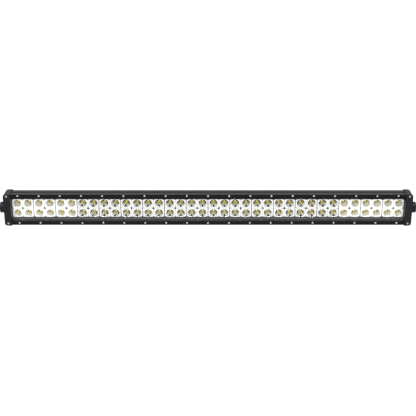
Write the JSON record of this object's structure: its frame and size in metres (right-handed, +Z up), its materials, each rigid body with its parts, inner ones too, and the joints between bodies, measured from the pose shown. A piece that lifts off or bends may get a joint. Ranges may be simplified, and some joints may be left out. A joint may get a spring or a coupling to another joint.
{
  "type": "led light bar",
  "caption": "Straight LED light bar: finned black housing, clear lens clamped by screwed strips, rows of bright reflector cups, and end caps with threaded mounting bosses.",
  "frame": {"origin": "under the middle of the bar, on the plane that the end caps' undersides stand on", "axes": "+X along the bar, to the right when facing its lit front; -Y out of the lit front; +Z up"},
  "size_m": [0.9716, 0.0688, 0.0768],
  "materials": {
    "black_powder_coat": "satin",
    "clear_polycarbonate": "gloss",
    "grey_silicone": "matte",
    "bright_metallised_abs": "gloss",
    "white_board_and_emitters": "satin",
    "green_circuit_board": "satin",
    "stainless_steel": "satin",
    "black_nylon": "matte",
    "black_rubber": "matte"
  },
  "bodies": {
    "bar": {"bezel_strip_bottom": "black_powder_coat", "bezel_strip_top": "black_powder_coat", "breather_vent": "black_nylon", "cap_front_screw_left_bottom": "stainless_steel", "cap_front_screw_left_top": "stainless_steel", "cap_front_screw_right_bottom": "stainless_steel", "cap_front_screw_right_top": "stainless_steel", "cap_side_screw_left_1": "stainless_steel", "cap_side_screw_left_2": "stainless_steel", "cap_side_screw_left_3": "stainless_steel", "cap_side_screw_left_4": "stainless_steel", "cap_side_screw_right_1": "stainless_steel", "cap_side_screw_right_2": "stainless_steel", "cap_side_screw_right_3": "stainless_steel", "cap_side_screw_right_4": "stainless_steel", "driver_board": "green_circuit_board", "end_cap_left": "black_powder_coat", "end_cap_right": "black_powder_coat", "end_gasket_left": "black_rubber", "end_gasket_right": "black_rubber", "flood_reflector_left_1": "bright_metallised_abs", "flood_reflector_left_2": "bright_metallised_abs", "flood_reflector_left_3": "bright_metallised_abs", "flood_reflector_right_1": "bright_metallised_abs", "flood_reflector_right_2": "bright_metallised_abs", "flood_reflector_right_3": "bright_metallised_abs", "gland_body": "black_nylon", "gland_nut": "black_nylon", "gland_seal": "black_rubber", "housing": "black_powder_coat", "led_board_centre": "white_board_and_emitters", "led_board_left": "white_board_and_emitters", "led_board_right": "white_board_and_emitters", "lens": "clear_polycarbonate", "lens_gasket": "grey_silicone", "spot_reflector_1": "bright_metallised_abs", "spot_reflector_10": "bright_metallised_abs", "spot_reflector_11": "bright_metallised_abs", "spot_reflector_12": "bright_metallised_abs", "spot_reflector_2": "bright_metallised_abs", "spot_reflector_3": "bright_metallised_abs", "spot_reflector_4": "bright_metallised_abs", "spot_reflector_5": "bright_metallised_abs", "spot_reflector_6": "bright_metallised_abs", "spot_reflector_7": "bright_metallised_abs", "spot_reflector_8": "bright_metallised_abs", "spot_reflector_9": "bright_metallised_abs"},
    "left_washers": {"left_flat_washer": "stainless_steel", "left_spring_washer": "stainless_steel"},
    "left_bolt": {"left_mounting_bolt": "stainless_steel"},
    "right_washers": {"right_flat_washer": "stainless_steel", "right_spring_washer": "stainless_steel"},
    "right_bolt": {"right_mounting_bolt": "stainless_steel"}
  },
  "joints": [
    {"name": "left_bolt_slide", "type": "slide", "parent": "bar", "child": "left_washers", "axis": [-1, 0, 0], "range_m": [0, 0.00905]},
    {"name": "left_bolt_turn", "type": "hinge", "parent": "left_washers", "child": "left_bolt", "pos_m": [-0.477, -0.0139, 0.0384], "axis": [-1, 0, 0], "range_deg": [0, 2592]},
    {"name": "right_bolt_slide", "type": "slide", "parent": "bar", "child": "right_washers", "axis": [1, 0, 0], "range_m": [0, 0.00905]},
    {"name": "right_bolt_turn", "type": "hinge", "parent": "right_washers", "child": "right_bolt", "pos_m": [0.477, -0.0139, 0.0384], "axis": [1, 0, 0], "range_deg": [0, 2592]}
  ],
  "couplings": [
    {"joint": "left_bolt_slide", "follows": "left_bolt_turn", "m_per_rad": 0.00019894},
    {"joint": "right_bolt_slide", "follows": "right_bolt_turn", "m_per_rad": 0.00019894}
  ]
}
